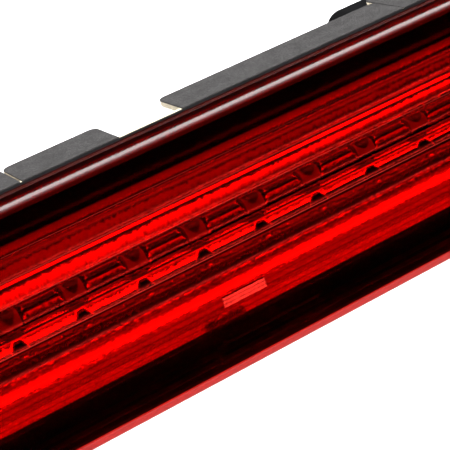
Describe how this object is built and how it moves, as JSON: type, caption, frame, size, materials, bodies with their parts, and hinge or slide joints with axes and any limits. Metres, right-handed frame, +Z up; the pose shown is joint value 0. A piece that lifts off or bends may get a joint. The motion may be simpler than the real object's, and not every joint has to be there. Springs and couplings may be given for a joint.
{
  "type": "third brake light",
  "caption": "Long high-mounted brake light bar with a fluted red lens over a black mask, a reflector row of diodes, a black housing, foam teeth, rear studs and a rear connector socket.",
  "frame": {"origin": "midway between the two mounting studs, on the plane where the seats round the studs meet the panel", "axes": "+X along the bar, +Z up, -Y out of the lens, +Y along the studs into the vehicle"},
  "size_m": [0.4106, 0.05, 0.0624],
  "materials": {
    "lens_red": "gloss",
    "seal_black": "matte",
    "mask_black": "gloss",
    "reflector_metal": "polished",
    "housing_black": "satin",
    "board_green": "satin",
    "led_white": "satin",
    "led_resin": "gloss",
    "solder": "satin",
    "chip_black": "satin",
    "capacitor_can": "satin",
    "screw_steel": "satin",
    "terminal_brass": "satin",
    "socket_black": "satin",
    "seal_orange": "matte",
    "stud_zinc": "satin",
    "foam_cream": "matte",
    "foam_grey": "matte",
    "membrane_white": "matte"
  },
  "bodies": {
    "root": {"outer_lens": "lens_red", "lens_seal": "seal_black", "mask_frame": "mask_black", "reflector": "reflector_metal", "housing": "housing_black", "circuit_board": "board_green", "led_bodies": "led_white", "led_domes": "led_resin", "solder_joints": "solder", "resistors": "chip_black", "diodes": "chip_black", "capacitor": "capacitor_can", "regulator": "chip_black", "board_screws": "screw_steel", "terminal_blades": "terminal_brass", "connector_socket": "socket_black", "connector_seal": "seal_orange", "mounting_studs": "stud_zinc", "stud_seals": "seal_black", "foam_core_top": "foam_cream", "foam_coat_top": "foam_grey", "foam_core_bottom": "foam_cream", "foam_coat_bottom": "foam_grey", "vent_membrane": "membrane_white", "vent_cap": "socket_black"}
  },
  "joints": []
}
